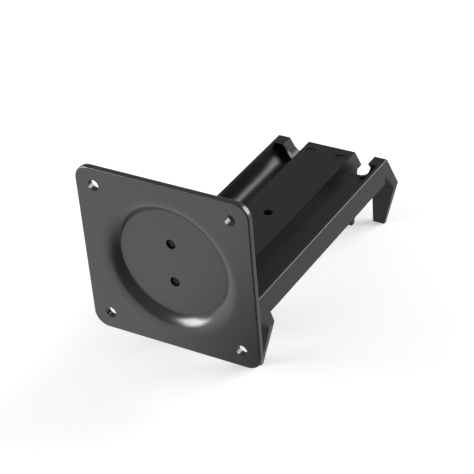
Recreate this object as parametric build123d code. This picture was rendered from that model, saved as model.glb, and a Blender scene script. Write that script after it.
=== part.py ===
from build123d import *
import math
import os

# Speaker wall bracket: a square pressed wall plate and a cast arm that stands off it on tapered legs.
# Millimetres. X runs along the wall, Y away from the wall, Z up.
# The origin is the centre of the plate on its wall side, so the wall is the plane Y = 0.

# Wall plate, pressed from sheet
plate_width = 110.0
plate_height = 108.2
plate_thickness = 4.0
plate_corner_radius = 9.0
plate_edge_round = 0.9
wall_hole_diameter = 7.0
wall_hole_spacing_x = 86.4
wall_hole_spacing_z = 85.8
dish_rim_radius = 44.0
dish_floor_radius = 34.0
dish_depth = 5.5

# Two bolts that join the arm to the plate, both on the plate's centre line
bolt_diameter = 6.0
bolt_spacing = 25.0
bolt_head_across_flats = 10.0
bolt_head_height = 4.0
bolt_hole_clearance = 0.2
bolt_end_setback = 1.2
bolt_end_chamfer = 0.6
washer_diameter = 12.0
washer_thickness = 1.6

# Arm: a centre beam between two rails, with a trough on each side of the beam
arm_width = 77.6
arm_depth = 16.0
arm_top_z = -28.8
arm_near_y = 25.0
arm_far_y = 191.7
rail_wall = 2.7
beam_width = 33.0
beam_wall = 2.8
trough_floor = 2.2
trough_cove_radius = 9.2
trough_end_y = 188.0
edge_round = 1.1

# Ribs across the hollow underside of the beam
rib_thickness = 2.0
rib_count = 4
rib_depth = 10.0

# Slanted end slabs of the rails, which carry the legs
slab_top_length = 9.5
slab_foot_length = 6.6
slab_top_width = 8.6
near_slant_deg = 26.0
far_slant_deg = 30.0
slab_drop = 25.6
slab_neck_drop = 9.0
slab_flare_drop = 17.6
flare_fullness = 0.35

# Legs
leg_sole_drop = 53.7
leg_top_width = 15.7
leg_sole_width = 8.6
leg_sole_length = 4.2
leg_lean = 1.9
leg_edge_round = 0.9

# Leg under the far end of the beam
centre_slab_drop = 14.0
centre_leg_length = 4.2
centre_leg_setback = 5.0
centre_leg_lean = 1.7
centre_leg_sole_width = 27.2

# Rubber sole pads, each with a stem pressed into its leg
pad_thickness = 1.5
pad_inset = 0.25
pad_edge_round = 0.5
pad_stem_diameter = 2.2
pad_stem_length = 5.0
pad_stem_clearance = 0.1

# Upright flange behind the dish, with a gusset on each side
flange_thickness = 5.0
flange_top_margin = 9.0
gusset_thickness = 2.8
gusset_reach = 32.0

# Hole and two round sinkings in the top of the beam
beam_hole_diameter = 6.0
beam_hole_y = 109.0
beam_boss_diameter = 12.0
beam_boss_depth = 8.0
sinking_diameter = 7.7
sinking_depth = 1.8
sinking_spacing = 20.9
sinking_y = 182.0

# Places that follow from the sizes above
dish_back_y = plate_thickness + dish_depth
flange_back_y = dish_back_y + flange_thickness
arm_bottom_z = arm_top_z - arm_depth
floor_top_z = arm_bottom_z + trough_floor
half_arm = arm_width / 2
half_beam = beam_width / 2
trough_outer_x = half_arm - rail_wall
slab_vertex_z = arm_top_z - slab_drop
sole_z = arm_top_z - leg_sole_drop
near_slope = math.tan(math.radians(near_slant_deg))
far_slope = math.tan(math.radians(far_slant_deg))
flange_top_z = bolt_spacing / 2 + flange_top_margin
centre_vertex_y = arm_far_y + far_slope * centre_slab_drop
centre_slab_z = arm_top_z - centre_slab_drop
centre_leg_far_y = centre_vertex_y - centre_leg_setback
centre_leg_near_y = centre_leg_far_y - centre_leg_length
cut_margin = 1.0


def on_xz(sketch, y_from, y_to):
    """Extrude a sketch drawn in X and Z from one Y to another."""
    placed = Plane(origin=(0, y_from, 0), x_dir=(1, 0, 0), z_dir=(0, -1, 0)) * sketch
    return extrude(placed, amount=y_to - y_from, dir=(0, 1, 0))


def on_yz(sketch, x_from, x_to):
    """Extrude a sketch drawn in Y and Z from one X to another."""
    placed = Plane(origin=(x_from, 0, 0), x_dir=(0, 1, 0), z_dir=(1, 0, 0)) * sketch
    return extrude(placed, amount=x_to - x_from, dir=(1, 0, 0))


def outline(*points):
    return make_face(Polyline(*points, close=True))


def from_two_views(side_view, front_view):
    """Solid that shows side_view (drawn in Y and Z) from the side and front_view (in X and Z) from the end."""
    across, along = front_view.bounding_box(), side_view.bounding_box()
    return on_yz(side_view, across.min.X, across.max.X) & on_xz(front_view, along.min.X, along.max.X)


def round_leg_edges(body, leg_top_z):
    """Round the four edges that run down the leg from leg_top_z to the sole."""
    middle_z = (leg_top_z + sole_z) / 2
    return fillet(body.edges().filter_by(lambda e: abs(e.center().Z - middle_z) < leg_edge_round), leg_edge_round)


def outer_top_corner():
    """Quarter round from the arm's outer side up to its top."""
    middle = edge_round * (1 - math.cos(math.radians(45)))
    return ThreePointArc((half_arm, arm_top_z - edge_round), (half_arm - middle, arm_top_z - middle),
                         (half_arm - edge_round, arm_top_z))


def along_y(radius, y_from, y_to, x=0.0, z=0.0):
    """Solid cylinder whose axis runs along Y."""
    disc = Plane(origin=(x, y_from, z), x_dir=(1, 0, 0), z_dir=(0, 1, 0)) * Circle(radius)
    return extrude(disc, amount=y_to - y_from, dir=(0, 1, 0))


def upright(radius, z_from, z_to, x=0.0, y=0.0):
    """Solid cylinder whose axis runs along Z."""
    disc = Plane(origin=(x, y, z_from)) * Circle(radius)
    return extrude(disc, amount=z_to - z_from, dir=(0, 0, 1))


def dish_form(radius_growth, y_face, reach):
    """Revolved dish that starts tangent to a face at y_face and bends down to a crisp flat floor."""
    run = dish_rim_radius - dish_floor_radius
    turn = 2 * math.atan2(dish_depth, run)
    bend = run / math.sin(turn)
    rim = dish_rim_radius + radius_growth * math.tan(turn / 2)
    bend_centre_y = y_face + bend
    start = (rim, y_face)
    middle = (rim - bend * math.sin(turn / 2), bend_centre_y - bend * math.cos(turn / 2))
    end = (rim - bend * math.sin(turn), bend_centre_y - bend * math.cos(turn))
    wall = ThreePointArc(start, middle, end)
    rest = Polyline(end, (0, end[1]), (0, y_face - reach), (rim, y_face - reach), start)
    profile = make_face(Curve() + [wall, rest])
    return revolve(profile, axis=Axis.Y, revolution_arc=360)


def wall_plate():
    blank = on_xz(RectangleRounded(plate_width, plate_height, plate_corner_radius), 0, plate_thickness)
    rims = blank.edges().filter_by(lambda e: e.bounding_box().size.Y < plate_thickness / 2)
    plate = fillet(rims, plate_edge_round)
    plate += dish_form(plate_thickness, plate_thickness, plate_thickness / 2)
    plate -= dish_form(0, 0, plate_thickness)
    for side in (-1, 1):
        for level in (-1, 1):
            x, z = side * wall_hole_spacing_x / 2, level * wall_hole_spacing_z / 2
            plate -= along_y(wall_hole_diameter / 2, -cut_margin, plate_thickness + cut_margin, x, z)
    for level in (-1, 1):
        z = level * bolt_spacing / 2
        plate -= along_y((bolt_diameter + bolt_hole_clearance) / 2, 0, dish_back_y + cut_margin, 0, z)
    return plate


def trough_section(side):
    """Rail wall, cove and trough floor on one side of the beam, as a section in X and Z."""
    top_in = trough_outer_x
    cove_x = top_in - trough_cove_radius
    cove_z = floor_top_z + trough_cove_radius
    inner_x = half_beam - beam_wall
    diagonal = trough_cove_radius * math.cos(math.radians(45))
    lines = [
        Polyline((inner_x, floor_top_z), (inner_x, arm_bottom_z), (half_arm, arm_bottom_z),
                 (half_arm, arm_top_z - edge_round)),
        outer_top_corner(),
        Polyline((half_arm - edge_round, arm_top_z), (top_in, arm_top_z), (top_in, cove_z)),
        ThreePointArc((top_in, cove_z), (cove_x + diagonal, cove_z - diagonal), (cove_x, floor_top_z)),
        Line((cove_x, floor_top_z), (inner_x, floor_top_z)),
    ]
    section = make_face(Curve() + lines)
    return section if side > 0 else mirror(section, about=Plane.YZ)


def rails():
    """Both troughs with their rail walls, slanted like the slabs at the near end and square at the far end."""
    side_view = outline((arm_near_y, arm_top_z), (arm_near_y + near_slope * arm_depth, arm_bottom_z),
                        (trough_end_y, arm_bottom_z), (trough_end_y, arm_top_z))
    return from_two_views(side_view, trough_section(-1)) + from_two_views(side_view, trough_section(1))


def leg_front(side):
    """Front outline of a rail's end slab and leg: a narrow neck that flares inwards and then tapers."""
    neck_x = half_arm - slab_top_width
    inner_x = half_arm - leg_top_width
    neck_z = arm_top_z - slab_neck_drop
    flare_z = arm_top_z - slab_flare_drop
    flare_middle = (neck_x - flare_fullness * (neck_x - inner_x),
                    flare_z + flare_fullness * (neck_z - flare_z))
    lines = [
        Polyline((neck_x, neck_z), (neck_x, arm_top_z), (half_arm - edge_round, arm_top_z)),
        outer_top_corner(),
        Polyline((half_arm, arm_top_z - edge_round), (half_arm, slab_vertex_z),
                 (inner_x + leg_sole_width, sole_z), (inner_x, sole_z), (inner_x, flare_z)),
        ThreePointArc((inner_x, flare_z), flare_middle, (neck_x, neck_z)),
    ]
    front = make_face(Curve() + lines)
    return front if side > 0 else mirror(front, about=Plane.YZ)


def slab_ends(near_end):
    """Y of a rail end's outer top edge, Y of the corner below it, and which way is towards the arm's middle."""
    if near_end:
        return arm_near_y, arm_near_y + near_slope * slab_drop, 1
    return arm_far_y, arm_far_y + far_slope * slab_drop, -1


def leg_sole_y(near_end):
    _, vertex_y, inward = slab_ends(near_end)
    return vertex_y + inward * slab_foot_length / 2 - leg_lean


def rail_leg(side, near_end):
    """Slab that slants away from the wall under a rail's end, with the leg that drops from it."""
    outer_y, vertex_y, inward = slab_ends(near_end)
    sole_y, half_sole = leg_sole_y(near_end), inward * leg_sole_length / 2
    side_view = outline((outer_y, arm_top_z), (vertex_y, slab_vertex_z), (sole_y - half_sole, sole_z),
                        (sole_y + half_sole, sole_z), (vertex_y + inward * slab_foot_length, slab_vertex_z),
                        (outer_y + inward * slab_top_length, arm_top_z))
    return round_leg_edges(from_two_views(side_view, leg_front(side)), slab_vertex_z)


def centre_leg():
    """Leg that drops from the slanted far end of the beam."""
    side_view = outline((centre_leg_far_y, centre_slab_z), (centre_leg_far_y - centre_leg_lean, sole_z),
                        (centre_leg_near_y - centre_leg_lean, sole_z), (centre_leg_near_y, centre_slab_z))
    half_sole = centre_leg_sole_width / 2
    front_view = outline((-half_beam, centre_slab_z), (half_beam, centre_slab_z), (half_sole, sole_z),
                         (-half_sole, sole_z))
    return round_leg_edges(from_two_views(side_view, front_view), centre_slab_z)


def beam():
    """Inverted channel with cross ribs, from the flange to its slanted far end."""
    side_view = outline((dish_back_y, arm_top_z), (arm_far_y, arm_top_z), (centre_vertex_y, centre_slab_z),
                        (centre_leg_near_y, centre_slab_z), (centre_leg_near_y, arm_bottom_z),
                        (dish_back_y, arm_bottom_z))
    front_view = outline((-half_beam, arm_bottom_z), (-half_beam, arm_top_z), (half_beam, arm_top_z),
                         (half_beam, arm_bottom_z))
    body = from_two_views(side_view, front_view)
    hollow_width, hollow_end = beam_width - 2 * beam_wall, arm_far_y - slab_top_length
    hollow = on_xz(Rectangle(hollow_width, arm_depth), flange_back_y, hollow_end)
    body -= Pos(0, 0, arm_top_z - beam_wall - arm_depth / 2) * hollow
    for number in range(rib_count):
        y = flange_back_y + (hollow_end - flange_back_y) * (number + 1) / (rib_count + 1)
        body += Pos(0, y, arm_top_z - beam_wall - rib_depth / 2) * Box(hollow_width, rib_thickness, rib_depth)
    return body


def flange():
    """Upright plate behind the dish, with a gusset down to the beam on each side."""
    height = flange_top_z - arm_top_z
    body = Pos(0, (dish_back_y + flange_back_y) / 2, arm_top_z + height / 2) * Box(
        beam_width, flange_thickness, height)
    gusset = outline((flange_back_y, flange_top_z), (flange_back_y, arm_top_z),
                     (flange_back_y + gusset_reach, arm_top_z))
    for side in (-1, 1):
        outer = side * half_beam
        inner = side * (half_beam - gusset_thickness)
        body += on_yz(gusset, min(outer, inner), max(outer, inner))
    return body


def pad_places():
    """Name, centre in X and Y, width and length of every sole pad."""
    middle_x = half_arm - leg_top_width + leg_sole_width / 2
    places = []
    for near_end, end_name in ((True, "near"), (False, "far")):
        for side, side_name in ((-1, "left"), (1, "right")):
            places.append((f"sole_pad_{end_name}_{side_name}", side * middle_x, leg_sole_y(near_end),
                           leg_sole_width, leg_sole_length))
    centre_y = (centre_leg_far_y + centre_leg_near_y) / 2 - centre_leg_lean
    places.append(("sole_pad_centre", 0.0, centre_y, centre_leg_sole_width, centre_leg_length))
    return places


def arm():
    body = rails() + beam() + flange()
    for side in (-1, 1):
        for near_end in (True, False):
            body += rail_leg(side, near_end)
    body += centre_leg()
    boss_z = arm_top_z - beam_wall - beam_boss_depth
    body += upright(beam_boss_diameter / 2, boss_z, arm_top_z - beam_wall / 2, 0, beam_hole_y)
    body -= upright(beam_hole_diameter / 2, boss_z - cut_margin, arm_top_z + cut_margin, 0, beam_hole_y)
    for side in (-1, 1):
        body -= upright(sinking_diameter / 2, arm_top_z - sinking_depth, arm_top_z + cut_margin,
                        side * sinking_spacing / 2, sinking_y)
        z = side * bolt_spacing / 2
        body -= along_y((bolt_diameter + bolt_hole_clearance) / 2, dish_back_y - cut_margin,
                        flange_back_y + cut_margin, 0, z)
    for _, x, y, _, _ in pad_places():
        body -= upright((pad_stem_diameter + pad_stem_clearance) / 2, sole_z - cut_margin,
                        sole_z + pad_stem_length + pad_stem_clearance, x, y)
    return body


def flange_bolts():
    """Two hex bolts, put in from behind the flange, whose ends stop short of the dish's face."""
    head_y = flange_back_y + washer_thickness
    end_y = dish_depth + bolt_end_setback
    bolts = []
    for level in (-1, 1):
        z = level * bolt_spacing / 2
        shank = along_y(bolt_diameter / 2, end_y, head_y, 0, z)
        shank = chamfer(shank.edges().group_by(Axis.Y)[0], bolt_end_chamfer)
        hexagon = RegularPolygon(bolt_head_across_flats / 2, 6, major_radius=False)
        head = Pos(0, 0, z) * on_xz(hexagon, head_y, head_y + bolt_head_height)
        bolts.append(shank + head)
    return Compound(children=bolts)


def flange_washers():
    washers = []
    for level in (-1, 1):
        z = level * bolt_spacing / 2
        ring = along_y(washer_diameter / 2, flange_back_y, flange_back_y + washer_thickness, 0, z)
        ring -= along_y((bolt_diameter + bolt_hole_clearance) / 2, flange_back_y - cut_margin,
                        flange_back_y + washer_thickness + cut_margin, 0, z)
        washers.append(ring)
    return Compound(children=washers)


def sole_pad(x, y, width, length):
    block = Box(width - 2 * pad_inset, length - 2 * pad_inset, pad_thickness)
    block = Pos(x, y, sole_z - pad_thickness / 2) * block
    block = fillet(block.edges().filter_by(Axis.Z), pad_edge_round)
    block = fillet(block.edges().group_by(Axis.Z)[0], pad_edge_round)
    return block + upright(pad_stem_diameter / 2, sole_z - pad_thickness / 2, sole_z + pad_stem_length, x, y)


def main():
    os.makedirs("parts", exist_ok=True)
    pieces = {
        "wall_plate": wall_plate(),
        "arm": arm(),
        "flange_bolts": flange_bolts(),
        "flange_washers": flange_washers(),
    }
    for name, x, y, width, length in pad_places():
        pieces[name] = sole_pad(x, y, width, length)
    for name, shape in pieces.items():
        export_step(shape, f"parts/{name}.step")


if __name__ == "__main__":
    main()
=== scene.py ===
"""Looks of a speaker wall bracket: black coats, black bolts, rubber soles, and a pale studio round it."""

import math

import bmesh
import bpy
from bpy.props import FloatProperty, FloatVectorProperty, PointerProperty
from mathutils import Matrix, Vector


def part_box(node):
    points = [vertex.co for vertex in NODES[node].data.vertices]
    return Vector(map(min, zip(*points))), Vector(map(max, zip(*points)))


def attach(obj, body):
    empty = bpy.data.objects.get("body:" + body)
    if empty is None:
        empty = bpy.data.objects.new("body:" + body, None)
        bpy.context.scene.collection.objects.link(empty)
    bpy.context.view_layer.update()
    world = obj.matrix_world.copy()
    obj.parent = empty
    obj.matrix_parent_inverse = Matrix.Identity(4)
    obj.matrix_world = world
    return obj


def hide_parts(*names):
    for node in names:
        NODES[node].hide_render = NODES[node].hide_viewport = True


bl_info = {
    "name": "Speaker wall bracket",
    "version": (1, 0, 0),
    "blender": (4, 5, 0),
    "location": "View3D > Sidebar > Bracket",
    "description": "Finishes, bolts and studio for a speaker wall bracket",
    "category": "Object",
}

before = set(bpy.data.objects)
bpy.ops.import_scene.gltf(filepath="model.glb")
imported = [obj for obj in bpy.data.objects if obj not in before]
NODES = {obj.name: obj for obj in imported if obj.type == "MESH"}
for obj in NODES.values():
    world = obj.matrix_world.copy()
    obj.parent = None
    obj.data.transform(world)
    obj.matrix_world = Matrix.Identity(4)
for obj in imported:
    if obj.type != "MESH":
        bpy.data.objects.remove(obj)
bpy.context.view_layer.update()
SOLES = [name for name in sorted(NODES) if name.startswith("sole_pad")]
FLOOR_Z = min(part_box(name)[0].z for name in SOLES)
WHITE = (1.0, 1.0, 1.0, 1.0)

# Steps round the bolts, washers, webs and sinkings
ROUND_SIDES = 48
HEAD_SIDES = 6
THREAD_SIDES = 3
THREAD_STEPS_PER_TURN = 40
WASHER_SIDES = 72
WASHER_EDGE_STEPS = 3
NOTCH_STEPS = 16

# Bolts: a tip's taper for its length, how many tips' lengths have no thread, the head's chamfer as a share
# of the head's height, and how far the chamfer runs in for its own height
TIP_TAPER = 0.6
THREAD_MARGINS = 2.0
CHAMFER_SHARE = 0.14
CHAMFER_SLOPE = 1.6

# Floor as the camera sees it: its tone, its glow near the bracket, what is added far off, and where far is
FLOOR_TONE = (0.80, 0.80, 0.80, 1.0)
FLOOR_GLOW = 0.38
FAR_FLOOR_GLOW = 0.50
FAR_FROM, FAR_TO = 0.4, 1.6

# Floor as reflections see it, with painted shade: how much darker it is on the right, and how much less of
# that behind the bracket
RIGHT_PAINTED_SHADE = 0.85
PAINTED_SHADE_SPARED_BEHIND = 0.45
RIGHT_FROM, RIGHT_TO = -0.06, 0.05
BEHIND_FROM, BEHIND_TO = -0.06, 0.04

# World: its light, what the camera sees on top of it, and the painted shade that reflections see in it, less
# of it overhead
WORLD_LIGHT = 0.36
WORLD_SHOWN = 0.64
MIRRORED_PAINTED_SHADE = 0.14
PAINTED_SHADE_SPARED_OVERHEAD = 0.10
OVERHEAD_FROM, OVERHEAD_TO = 0.30, 0.80

# Lights' common aim, and the camera's sensor in millimetres and its range in metres
LIGHTS_AIM = (0.0, 0.08, -0.02)
SENSOR_WIDTH = 36.0
CLIP_START, CLIP_END = 0.02, 60.0


class Wire:
    """One output socket of a node tree, so that maths on it reads as plain arithmetic."""

    def __init__(self, tree, socket):
        self.tree = tree
        self.socket = socket

    def maths(self, operation, *values):
        return self.tree.node("ShaderNodeMath", {"operation": operation}, dict(enumerate(values)))

    def __add__(self, other):
        return self.maths("ADD", self, other)

    __radd__ = __add__

    def __sub__(self, other):
        return self.maths("SUBTRACT", self, other)

    def __rsub__(self, other):
        return self.maths("SUBTRACT", other, self)

    def __mul__(self, other):
        return self.maths("MULTIPLY", self, other)

    __rmul__ = __mul__

    def __truediv__(self, other):
        return self.maths("DIVIDE", self, other)

    def __rtruediv__(self, other):
        return self.maths("DIVIDE", other, self)

    def ramp(self, low, high):
        """0 at low and below, 1 at high and above, smooth between them."""
        return self.tree.node("ShaderNodeMapRange", {"interpolation_type": "SMOOTHSTEP"},
                              {"Value": self, "From Min": low, "From Max": high})


class Tree:
    """Adds nodes to a node tree and links them up."""

    def __init__(self, node_tree):
        self.node_tree = node_tree

    def node(self, kind, settings=None, sockets=None, output=0):
        made = self.node_tree.nodes.new(kind)
        for name, value in (settings or {}).items():
            setattr(made, name, value)
        for name, value in (sockets or {}).items():
            if isinstance(value, Wire):
                self.node_tree.links.new(value.socket, made.inputs[name])
            else:
                made.inputs[name].default_value = value
        return Wire(self, made.outputs[output])

    def end(self, kind, last):
        """Adds the tree's output node and links the last wire to it."""
        self.node_tree.links.new(last.socket, self.node_tree.nodes.new(kind).inputs[0])


class Finish(Tree):
    """A material with one Principled shader, whose patterns read the object's own coordinates in metres."""

    def __init__(self, name):
        self.material = bpy.data.materials.new(name)
        self.material.use_nodes = True
        self.material.node_tree.nodes.clear()
        super().__init__(self.material.node_tree)
        self.place = self.node("ShaderNodeTexCoord", output="Object")

    def noise(self, size, detail, roughness, shift=0.0):
        """Noise between 0 and 1 whose lumps are about size metres across."""
        return self.node("ShaderNodeTexNoise", {"noise_dimensions": "4D"},
                         {"Vector": self.place, "W": shift, "Scale": 1 / size, "Detail": detail,
                          "Roughness": roughness})

    def blend(self, factor, first, second):
        """Colour between first and second."""
        return self.node("ShaderNodeMix", {"data_type": "RGBA"},
                         {0: factor, 6: colour4(first), 7: colour4(second)}, output=2)

    def bump(self, height, depth, strength):
        """Normal of a surface whose height runs over depth metres."""
        return self.node("ShaderNodeBump", None, {"Height": height, "Distance": depth, "Strength": strength})

    def close(self, **sockets):
        """Ends the material in a Principled shader whose sockets are named with _ for each space."""
        shader = self.node("ShaderNodeBsdfPrincipled", None,
                           {name.replace("_", " "): value for name, value in sockets.items()})
        self.end("ShaderNodeOutputMaterial", shader)
        return self.material


def colour4(value):
    return value if isinstance(value, Wire) else (*value[:3], 1.0)


def shade(colour, factor):
    return tuple(channel * factor for channel in colour[:3])


def length(name, description, default):
    return FloatProperty(name=name, description=description, unit="LENGTH", min=0.0, default=default,
                         precision=5)


def height(name, description, default):
    return FloatProperty(name=name, description=description, unit="LENGTH", default=default, precision=5)


def share(name, description, default):
    return FloatProperty(name=name, description=description, subtype="FACTOR", min=0, max=1, default=default)


def tint(name, description, default):
    return FloatVectorProperty(name=name, description=description, subtype="COLOR", size=3, min=0, max=1,
                               default=default)


class BRACKET_PG_finishes(bpy.types.PropertyGroup):
    """Colours and grain of the bracket's coats, plating and rubber."""
    plate_colour: tint("Plate coat", "Colour of the wall plate's powder coat", (0.014, 0.014, 0.0145))
    plate_roughness: share("Plate roughness", "Mean roughness of the powder coat", 0.25)
    arm_colour: tint("Arm coat", "Colour of the cast arm's coat", (0.012, 0.012, 0.0125))
    arm_roughness: share("Arm roughness", "Mean roughness of the arm's coat", 0.33)
    plate_sheen: share("Plate sheen", "Strength of the reflections on the powder coat", 0.90)
    arm_sheen: share("Arm sheen", "Strength of the reflections on the arm's coat", 0.40)
    peel_size: length("Peel size", "Width of one lump of the powder coat's orange peel", 0.0011)
    grain_size: length("Casting grain", "Width of one grain of the casting's skin", 0.0007)
    plating_colour: tint("Plating", "Colour of the bolts' and washers' black plating", (0.010, 0.010, 0.011))
    rubber_colour: tint("Rubber", "Colour of the rubber soles", (0.009, 0.009, 0.009))


class BRACKET_PG_bolts(bpy.types.PropertyGroup):
    """Sizes of the two bolts and washers that join the arm to the wall plate."""
    spacing: length("Spacing", "Distance between the two bolts", 0.025)
    thread_radius: length("Thread radius", "Outer radius of the thread", 0.003)
    thread_depth: length("Thread depth", "Height of the thread above its core", 0.0004)
    pitch: length("Pitch", "Advance of the thread in one turn", 0.001)
    tip_length: length("Tip", "Length of the tapered end", 0.0006)
    head_width: length("Head width", "Width of the head across its flats", 0.010)
    head_height: length("Head height", "Height of the head", 0.004)
    hole_radius: length("Washer hole", "Radius of the washer's hole", 0.0031)
    washer_round: length("Washer edge", "Rounding of the washer's edges", 0.0002)


class BRACKET_PG_casting(bpy.types.PropertyGroup):
    """Places and sizes of the casting's fine forms: the troughs' webs and the faint sinkings' floors."""
    web_inner_x: length("Web's inner side", "Distance of a web's foot from the arm's middle plane", 0.0168)
    web_notch_x: length("Web's notch", "Where the notch's curve starts, from the arm's middle plane", 0.0205)
    web_slab_x: length("Web's slab side", "Where a web meets the slab, from the arm's middle plane", 0.0304)
    web_rail_x: length("Web's rail side", "Where a web ends in the rail, from the arm's middle plane", 0.0365)
    web_end_y: length("Web's far side", "Distance of a web's far side from the wall", 0.1880)
    web_thickness: length("Web's thickness", "Thickness of a web along the arm", 0.0026)
    web_base_z: height("Web's base", "Height of a web's underside", -0.0446)
    web_foot_z: height("Web's lip", "Height of a web's low lip beside the beam", -0.0424)
    web_top_z: height("Web's top", "Height of a web at the rail", -0.0306)
    sinking_radius: length("Sinking radius", "Radius of the two shallow sinkings in the beam", 0.00387)
    sinking_spacing: length("Sinking spacing", "Distance between the two sinkings", 0.0209)
    sinking_y: length("Sinking place", "Distance of the sinkings from the wall", 0.182)
    sinking_floor_z: height("Sinking floor", "Height of the sinkings' floors", -0.0294)
    sinking_base_z: height("Sinking base", "Height down to which a floor is backed", -0.0309)


class BRACKET_PG_stage(bpy.types.PropertyGroup):
    """Camera and the floor's width."""
    azimuth: FloatProperty(name="Azimuth", description="Camera's angle round the bracket from its wall side",
                           subtype="ANGLE", default=math.radians(32.966))
    elevation: FloatProperty(name="Elevation", description="Camera's angle above the horizon",
                             subtype="ANGLE", default=math.radians(33.733))
    roll: FloatProperty(name="Roll", description="Camera's turn about its own line of sight",
                        subtype="ANGLE", default=math.radians(-5.13))
    distance: FloatProperty(name="Distance", description="Camera's distance from the point that it looks at",
                            unit="LENGTH", default=0.94105)
    target: FloatVectorProperty(name="Target", description="Point that the camera looks at", size=3,
                                subtype="TRANSLATION", unit="LENGTH", default=(0.02885, 0.02781, 0.01150))
    lens: FloatProperty(name="Lens", description="Focal length in millimetres on a 36 mm sensor",
                        default=130.69)
    floor_size: FloatProperty(name="Floor size", description="Width of the studio floor", unit="LENGTH",
                              default=14.0)


class Shape(Tree):
    """A geometry tree with named sizes, which ends in one plain mesh with one material."""

    def __init__(self, name, sizes):
        group = bpy.data.node_groups.new(name, "GeometryNodeTree")
        for label in sizes:
            group.interface.new_socket(label, in_out="INPUT", socket_type="NodeSocketFloat")
        group.interface.new_socket("Mesh", in_out="OUTPUT", socket_type="NodeSocketGeometry")
        super().__init__(group)
        self.name = name
        self.sizes = sizes
        self.entry = group.nodes.new("NodeGroupInput")

    def size(self, label):
        return Wire(self, self.entry.outputs[label])

    def vector(self, x, y, z):
        return self.node("ShaderNodeCombineXYZ", None, {0: x, 1: y, 2: z})

    def cylinder(self, sides, radius, depth, middle_z):
        made = self.node("GeometryNodeMeshCylinder", None,
                         {"Vertices": sides, "Radius": radius, "Depth": depth})
        return self.moved(made, self.vector(0.0, 0.0, middle_z))

    def moved(self, shape, shift, turn=(0.0, 0.0, 0.0)):
        return self.node("GeometryNodeTransform", None,
                         {"Geometry": shape, "Translation": shift, "Rotation": turn})

    def joined(self, *shapes):
        joint = self.node_tree.nodes.new("GeometryNodeJoinGeometry")
        for shape in shapes:
            self.node_tree.links.new(shape.socket, joint.inputs[0])
        return Wire(self, joint.outputs[0])

    def swept(self, path, section, caps=True):
        return self.node("GeometryNodeCurveToMesh", None, {0: path, 1: section, "Fill Caps": caps})

    def pair(self, shape, y):
        """The shape, whose own axis is Z, laid along Y and placed at both bolts, starting at y."""
        laid = self.moved(shape, (0.0, 0.0, 0.0), (-math.pi / 2, 0.0, 0.0))
        places = self.node("GeometryNodeMeshLine", {"mode": "OFFSET"},
                           {"Count": 2, "Start Location": self.vector(0.0, y, self.size("Spacing") * -0.5),
                            "Offset": self.vector(0.0, 0.0, self.size("Spacing"))})
        return self.node("GeometryNodeInstanceOnPoints", None, {"Points": places, "Instance": laid})

    def finished(self, shape, material):
        """Plain object that holds the shape, with nothing left to work out."""
        solid = self.node("GeometryNodeRealizeInstances", None, {0: shape})
        dressed = self.node("GeometryNodeSetMaterial", None, {"Geometry": solid, "Material": material})
        self.end("NodeGroupOutput", dressed)
        made = bpy.data.objects.new(self.name, bpy.data.meshes.new(self.name))
        bpy.context.scene.collection.objects.link(made)
        modifier = made.modifiers.new(self.name, "NODES")
        modifier.node_group = self.node_tree
        for item in self.node_tree.interface.items_tree:
            if item.in_out == "INPUT":
                modifier[item.identifier] = self.sizes[item.name]
        now = bpy.context.evaluated_depsgraph_get()
        mesh = bpy.data.meshes.new_from_object(made.evaluated_get(now), depsgraph=now)
        made.modifiers.clear()
        made.data = mesh
        return made


def finishes():
    return bpy.context.scene.bracket_finishes


def put_on(material, *names):
    for name in names:
        slots = NODES[name].data.materials
        slots.clear()
        slots.append(material)


def powder_coat():
    """Satin black powder coat: orange peel, with faint clouds in its tone and gloss."""
    look = finishes()
    coat = Finish("powder_coat")
    clouds = coat.noise(size=0.035, detail=3.0, roughness=0.55)
    peel = coat.noise(size=look.peel_size, detail=2.0, roughness=0.45, shift=3.0)
    specks = coat.noise(size=0.00045, detail=1.0, roughness=0.5, shift=7.0).ramp(low=0.62, high=0.72)
    tone = clouds * 0.75 + peel * 0.25
    darker, lighter, speck_colour = (shade(look.plate_colour, factor) for factor in (0.88, 1.14, 1.7))
    clouded = coat.blend(tone, darker, lighter)
    return coat.close(Base_Color=coat.blend(specks * 0.35, clouded, speck_colour),
                      Roughness=look.plate_roughness - 0.05 + clouds * 0.06 + peel * 0.05,
                      Specular_IOR_Level=look.plate_sheen,
                      Normal=coat.bump(peel + specks * 0.3, depth=0.00005, strength=0.35))


def cast_coat():
    """Black coat over a die-cast skin: finer grain, and flow marks drawn out along the arm."""
    look = finishes()
    coat = Finish("cast_coat")
    flow_size, flow_stretch = 0.02, 4.0
    grain = coat.noise(size=look.grain_size, detail=3.0, roughness=0.6)
    drawn_out = coat.node("ShaderNodeMapping", None,
                          {"Vector": coat.place, "Scale": (1.0, 1 / flow_stretch, 1.0)})
    flow = coat.node("ShaderNodeTexNoise", None, {"Vector": drawn_out, "Scale": 1 / flow_size, "Detail": 3.0})
    tone = flow * 0.7 + grain * 0.3
    darker, lighter = (shade(look.arm_colour, factor) for factor in (0.85, 1.18))
    return coat.close(Base_Color=coat.blend(tone, darker, lighter),
                      Roughness=look.arm_roughness - 0.06 + flow * 0.07 + grain * 0.06,
                      Specular_IOR_Level=look.arm_sheen,
                      Normal=coat.bump(grain, depth=0.00006, strength=0.35))


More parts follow.
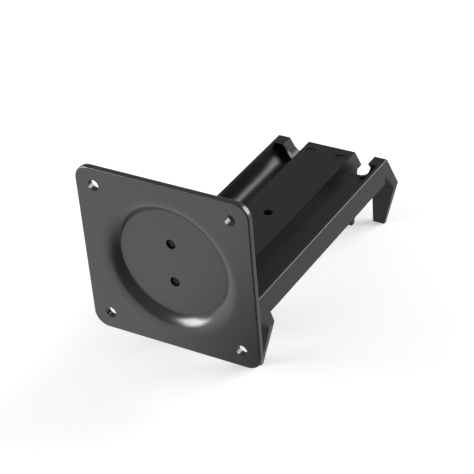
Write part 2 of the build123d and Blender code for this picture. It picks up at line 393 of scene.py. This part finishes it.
def black_plating():
    """Black plating on steel: dark and semi-glossy, worn a little greyer in places."""
    look = finishes()
    plating = Finish("black_plating")
    bloom = plating.noise(size=0.004, detail=4.0, roughness=0.6)
    fine = plating.noise(size=0.0003, detail=2.0, roughness=0.5, shift=5.0)
    worn = plating.noise(size=0.0012, detail=3.0, roughness=0.6, shift=9.0).ramp(low=0.58, high=0.72)
    darker, lighter, worn_colour = (shade(look.plating_colour, factor) for factor in (0.8, 1.25, 3.0))
    bloomed = plating.blend(bloom, darker, lighter)
    return plating.close(Base_Color=plating.blend(worn * 0.3, bloomed, worn_colour),
                         Metallic=0.2,
                         Specular_IOR_Level=0.2,
                         Roughness=0.32 + bloom * 0.12 + fine * 0.06,
                         Normal=plating.bump(fine, depth=0.00002, strength=0.4))


def sole_rubber():
    """Matt rubber with a fine moulded grain."""
    look = finishes()
    rubber = Finish("sole_rubber")
    grain = rubber.noise(size=0.0004, detail=2.0, roughness=0.5)
    dust = rubber.noise(size=0.003, detail=3.0, roughness=0.6, shift=4.0).ramp(low=0.55, high=0.8)
    dusty_colour = shade(look.rubber_colour, 2.2)
    return rubber.close(Base_Color=rubber.blend(dust * 0.4, look.rubber_colour, dusty_colour),
                        Roughness=0.72 + grain * 0.14,
                        Normal=rubber.bump(grain, depth=0.00006, strength=0.5))


def bolt_pair(size, end_y, top_y, material):
    """Two bolts whose ends are at end_y and whose heads' tops are at top_y."""
    tree = Shape("bolts", {"Spacing": size.spacing, "Thread radius": size.thread_radius,
                           "Thread depth": size.thread_depth, "Pitch": size.pitch, "Tip": size.tip_length,
                           "Head width": size.head_width, "Head height": size.head_height,
                           "Length": top_y - end_y})
    radius, depth, pitch = (tree.size(label) for label in ("Thread radius", "Thread depth", "Pitch"))
    tip, head_width, head_height = (tree.size(label) for label in ("Tip", "Head width", "Head height"))
    whole = tree.size("Length")
    shank = whole - head_height
    core_radius = radius - depth
    core = tree.cylinder(ROUND_SIDES, core_radius, shank - tip, (shank + tip) * 0.5)
    point = tree.node("GeometryNodeMeshCone", None,
                      {"Vertices": ROUND_SIDES, "Radius Top": core_radius,
                       "Radius Bottom": core_radius - tip * TIP_TAPER, "Depth": tip})
    thread_length = shank - tip * THREAD_MARGINS
    coil = tree.node("GeometryNodeCurveSpiral", None,
                     {"Resolution": THREAD_STEPS_PER_TURN, "Rotations": thread_length / pitch,
                      "Start Radius": core_radius, "End Radius": core_radius, "Height": thread_length,
                      "Reverse": False})
    ridge = tree.node("GeometryNodeCurvePrimitiveCircle", {"mode": "RADIUS"},
                      {"Resolution": THREAD_SIDES, "Radius": depth})
    thread = tree.moved(tree.swept(coil, ridge), tree.vector(0.0, 0.0, tip))
    corner, chamfer = head_width * (0.5 / math.cos(math.pi / HEAD_SIDES)), head_height * CHAMFER_SHARE
    prism = head_height - chamfer
    head = tree.cylinder(HEAD_SIDES, corner, prism, shank + prism * 0.5)
    crown = tree.node("GeometryNodeMeshCone", None,
                      {"Vertices": HEAD_SIDES, "Radius Top": corner - chamfer * CHAMFER_SLOPE,
                       "Radius Bottom": corner, "Depth": chamfer})
    crown = tree.moved(crown, tree.vector(0.0, 0.0, whole - chamfer))
    return tree.finished(tree.pair(tree.joined(core, point, thread, head, crown), end_y), material)


def washer_pair(size, low, high, material):
    """Two washers with rounded edges that fill the box from low to high."""
    tree = Shape("washers", {"Spacing": size.spacing, "Outer radius": (high.x - low.x) / 2,
                             "Hole radius": size.hole_radius, "Thickness": high.y - low.y,
                             "Edge": size.washer_round})
    outer, hole, thickness = (tree.size(label) for label in ("Outer radius", "Hole radius", "Thickness"))
    ring = tree.node("GeometryNodeCurvePrimitiveCircle", {"mode": "RADIUS"},
                     {"Resolution": WASHER_SIDES, "Radius": (outer + hole) * 0.5})
    section = tree.node("GeometryNodeCurvePrimitiveQuadrilateral", None,
                        {"Width": outer - hole, "Height": thickness})
    section = tree.node("GeometryNodeFilletCurve", {"mode": "POLY"},
                        {"Curve": section, "Radius": tree.size("Edge"), "Count": WASHER_EDGE_STEPS})
    washer = tree.moved(tree.swept(ring, section, caps=False), tree.vector(0.0, 0.0, thickness * 0.5))
    return tree.finished(tree.pair(washer, low.y), material)


def add_prism(mesh, outline, shift):
    """Adds a closed solid: the outline, the same outline moved by shift, and walls between them."""
    first = [mesh.verts.new(point) for point in outline]
    second = [mesh.verts.new(Vector(point) + Vector(shift)) for point in outline]
    mesh.faces.new(first)
    mesh.faces.new(reversed(second))
    for here in range(len(outline)):
        after = (here + 1) % len(outline)
        mesh.faces.new((first[here], first[after], second[after], second[here]))


def cast_piece(name, solids, material):
    """One piece of the casting from prisms, each an outline and a shift."""
    mesh = bmesh.new()
    for outline, shift in solids:
        add_prism(mesh, outline, shift)
    bmesh.ops.recalc_face_normals(mesh, faces=mesh.faces)
    data = bpy.data.meshes.new(name)
    mesh.to_mesh(data)
    mesh.free()
    data.materials.append(material)
    piece = bpy.data.objects.new(name, data)
    bpy.context.scene.collection.objects.link(piece)
    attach(piece, "root")


def web_outline(cast, side):
    """A web's outline in X and Z: a low lip beside the beam, and a curve up to the rail."""
    run, rise = cast.web_slab_x - cast.web_notch_x, cast.web_top_z - cast.web_foot_z
    curve = [(cast.web_notch_x + run * math.sin(turn), cast.web_top_z - rise * math.cos(turn))
             for turn in (math.pi / 2 * step / NOTCH_STEPS for step in range(NOTCH_STEPS + 1))]
    corners = [(cast.web_rail_x, cast.web_top_z), (cast.web_rail_x, cast.web_base_z),
               (cast.web_inner_x, cast.web_base_z), (cast.web_inner_x, cast.web_foot_z)]
    near_y = cast.web_end_y - cast.web_thickness
    return [(side * x, near_y, z) for x, z in curve + corners]


def sinking_outline(cast, side):
    """A sinking's round outline in X and Y."""
    middle_x, radius = side * cast.sinking_spacing / 2, cast.sinking_radius
    outline = []
    for corner in range(ROUND_SIDES):
        turn = math.tau * corner / ROUND_SIDES
        outline.append((middle_x + radius * math.cos(turn), cast.sinking_y + radius * math.sin(turn),
                        cast.sinking_base_z))
    return outline


class BRACKET_OT_wall_plate(bpy.types.Operator):
    """Give the pressed wall plate its powder coat"""
    bl_idname = "bracket.wall_plate"
    bl_label = "Wall plate"

    def execute(self, context):
        put_on(powder_coat(), "wall_plate")
        return {"FINISHED"}


class BRACKET_OT_arm(bpy.types.Operator):
    """Give the cast arm its coat, the webs at its troughs' far ends and the floors of its shallow sinkings"""
    bl_idname = "bracket.arm"
    bl_label = "Arm"

    def execute(self, context):
        cast = context.scene.bracket_casting
        coat = cast_coat()
        put_on(coat, "arm")
        along_arm = (0.0, cast.web_thickness, 0.0)
        up = (0.0, 0.0, cast.sinking_floor_z - cast.sinking_base_z)
        webs = [(web_outline(cast, side), along_arm) for side in (-1, 1)]
        floors = [(sinking_outline(cast, side), up) for side in (-1, 1)]
        cast_piece("trough_webs", webs, coat)
        cast_piece("sinking_floors", floors, coat)
        return {"FINISHED"}


class BRACKET_OT_bolts(bpy.types.Operator):
    """Make the two hex bolts, with their threads and chamfered heads, and the washers under the heads"""
    bl_idname = "bracket.bolts"
    bl_label = "Bolts and washers"

    def execute(self, context):
        size = context.scene.bracket_bolts
        plating = black_plating()
        bolt_low, bolt_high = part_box("flange_bolts")
        washer_low, washer_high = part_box("flange_washers")
        bolts = bolt_pair(size, bolt_low.y, bolt_high.y, plating)
        washers = washer_pair(size, washer_low, washer_high, plating)
        for piece, node in ((bolts, "flange_bolts"), (washers, "flange_washers")):
            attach(piece, "root")
            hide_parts(node)
        return {"FINISHED"}


class BRACKET_OT_soles(bpy.types.Operator):
    """Give the legs' soles their rubber"""
    bl_idname = "bracket.soles"
    bl_label = "Rubber soles"

    def execute(self, context):
        put_on(sole_rubber(), *SOLES)
        return {"FINISHED"}


def studio_floor(size):
    """Flat white floor that keeps the bracket's shadow; reflections see painted shade on it, darker at the
    front right.
    """
    half = size / 2
    mesh = bpy.data.meshes.new("studio_floor")
    corners = [(-half, -half, FLOOR_Z), (half, -half, FLOOR_Z), (half, half, FLOOR_Z), (-half, half, FLOOR_Z)]
    mesh.from_pydata(corners, [], [(0, 1, 2, 3)])
    floor = bpy.data.objects.new("studio_floor", mesh)
    bpy.context.scene.collection.objects.link(floor)
    tree = Finish("studio_floor")
    camera_ray = tree.node("ShaderNodeLightPath", output="Is Camera Ray")
    mirrored = tree.node("ShaderNodeLightPath", output="Is Glossy Ray")
    white = tree.node("ShaderNodeBsdfDiffuse", None, {"Color": FLOOR_TONE})
    distance = tree.node("ShaderNodeVectorMath", {"operation": "LENGTH"}, {0: tree.place}, output="Value")
    glow = camera_ray * (FLOOR_GLOW + distance.ramp(FAR_FROM, FAR_TO) * FAR_FLOOR_GLOW)
    lift = tree.node("ShaderNodeEmission", None, {"Color": WHITE, "Strength": glow})
    shown = tree.node("ShaderNodeAddShader", None, {0: white, 1: lift})
    across = tree.node("ShaderNodeSeparateXYZ", None, {0: tree.place}, output="X")
    along = tree.node("ShaderNodeSeparateXYZ", None, {0: tree.place}, output="Y")
    # Painted shade in reflections: the floor they see is darker on the right, less so behind the bracket.
    painted_reflection_shade = RIGHT_PAINTED_SHADE - along.ramp(BEHIND_FROM, BEHIND_TO) * PAINTED_SHADE_SPARED_BEHIND
    level = 1.0 - across.ramp(RIGHT_FROM, RIGHT_TO) * painted_reflection_shade
    # What reflections see of the floor is this glow with its painted shade, not the lit floor.
    sheen = tree.node("ShaderNodeEmission", None, {"Color": WHITE, "Strength": level})
    surface = tree.node("ShaderNodeMixShader", None, {0: mirrored, 1: shown, 2: sheen})
    tree.end("ShaderNodeOutputMaterial", surface)
    mesh.materials.append(tree.material)


def studio_world():
    """Even soft light; the camera sees white, and what reflects it sees a studio dimmed by painted shade."""
    world = bpy.data.worlds.new("studio_world")
    bpy.context.scene.world = world
    world.use_nodes = True
    world.node_tree.nodes.clear()
    tree = Tree(world.node_tree)
    camera_ray = tree.node("ShaderNodeLightPath", output="Is Camera Ray")
    mirrored = tree.node("ShaderNodeLightPath", output="Is Glossy Ray")
    direction = tree.node("ShaderNodeTexCoord", output="Generated")
    upward = tree.node("ShaderNodeSeparateXYZ", None, {0: direction}, output="Z")
    # Painted shade in reflections: they see a dimmer world than the light that falls on the bracket, less dim
    # overhead.
    painted_reflection_shade = MIRRORED_PAINTED_SHADE - upward.ramp(OVERHEAD_FROM, OVERHEAD_TO) * PAINTED_SHADE_SPARED_OVERHEAD
    level = WORLD_LIGHT + camera_ray * WORLD_SHOWN - mirrored * painted_reflection_shade
    sky = tree.node("ShaderNodeBackground", None, {"Color": WHITE, "Strength": level})
    tree.end("ShaderNodeOutputWorld", sky)


def softbox(name, direction, distance, width, height, brightness):
    """Area lamp that faces the bracket; brightness is what its own face shows, where 1 is white."""
    lamp = bpy.data.lights.new(name, "AREA")
    lamp.shape = "RECTANGLE"
    lamp.size, lamp.size_y = width, height
    lamp.energy = brightness * math.pi * width * height
    placed = bpy.data.objects.new(name, lamp)
    bpy.context.scene.collection.objects.link(placed)
    away = Vector(direction).normalized()
    placed.location = Vector(LIGHTS_AIM) + away * distance
    placed.rotation_euler = away.to_track_quat("Z", "Y").to_euler()


def camera(stage):
    """Camera that looks at the stage's target from its distance and angles."""
    lens = bpy.data.cameras.new("camera")
    lens.sensor_width = SENSOR_WIDTH
    lens.lens = stage.lens
    lens.clip_start, lens.clip_end = CLIP_START, CLIP_END
    shot = bpy.data.objects.new("camera", lens)
    bpy.context.scene.collection.objects.link(shot)
    turn = (Matrix.Rotation(stage.azimuth, 4, "Z") @ Matrix.Rotation(math.pi / 2 - stage.elevation, 4, "X")
            @ Matrix.Rotation(stage.roll, 4, "Z"))
    back = turn.to_3x3() @ Vector((0, 0, 1))
    shot.matrix_world = Matrix.Translation(Vector(stage.target) + back * stage.distance) @ turn
    bpy.context.scene.camera = shot


class BRACKET_OT_stage(bpy.types.Operator):
    """Set up the floor, the lights, the world and the camera"""
    bl_idname = "bracket.stage"
    bl_label = "Stage"

    def execute(self, context):
        stage = context.scene.bracket_stage
        context.scene.view_settings.view_transform = "Standard"
        studio_floor(stage.floor_size)
        studio_world()
        softbox("softbox_front_left", direction=(-0.74, -0.60, 0.30), distance=1.5,
                width=0.70, height=0.80, brightness=12.0)
        softbox("softbox_back_right", direction=(0.62, 0.68, 0.34), distance=1.3,
                width=1.00, height=0.90, brightness=6.5)
        camera(stage)
        return {"FINISHED"}


class BRACKET_PT_panel(bpy.types.Panel):
    """Lists the bracket's pieces and its stage"""
    bl_label = "Speaker wall bracket"
    bl_idname = "BRACKET_PT_panel"
    bl_space_type = "VIEW_3D"
    bl_region_type = "UI"
    bl_category = "Bracket"

    def draw(self, context):
        for operator in OPERATORS:
            self.layout.operator(operator.bl_idname)
        scene = context.scene
        for group in (scene.bracket_finishes, scene.bracket_bolts, scene.bracket_casting,
                      scene.bracket_stage):
            for name in group.__annotations__:
                self.layout.prop(group, name)


OPERATORS = (BRACKET_OT_wall_plate, BRACKET_OT_arm, BRACKET_OT_bolts, BRACKET_OT_soles, BRACKET_OT_stage)
CLASSES = (BRACKET_PG_finishes, BRACKET_PG_bolts, BRACKET_PG_casting, BRACKET_PG_stage, *OPERATORS,
           BRACKET_PT_panel)


def register():
    for cls in CLASSES:
        bpy.utils.register_class(cls)
    bpy.types.Scene.bracket_finishes = PointerProperty(type=BRACKET_PG_finishes)
    bpy.types.Scene.bracket_bolts = PointerProperty(type=BRACKET_PG_bolts)
    bpy.types.Scene.bracket_casting = PointerProperty(type=BRACKET_PG_casting)
    bpy.types.Scene.bracket_stage = PointerProperty(type=BRACKET_PG_stage)


def unregister():
    del bpy.types.Scene.bracket_stage
    del bpy.types.Scene.bracket_casting
    del bpy.types.Scene.bracket_bolts
    del bpy.types.Scene.bracket_finishes
    for cls in reversed(CLASSES):
        bpy.utils.unregister_class(cls)


def main():
    register()
    bpy.ops.bracket.wall_plate()
    bpy.ops.bracket.arm()
    bpy.ops.bracket.bolts()
    bpy.ops.bracket.soles()
    bpy.ops.bracket.stage()


if __name__ == "__main__":
    main()
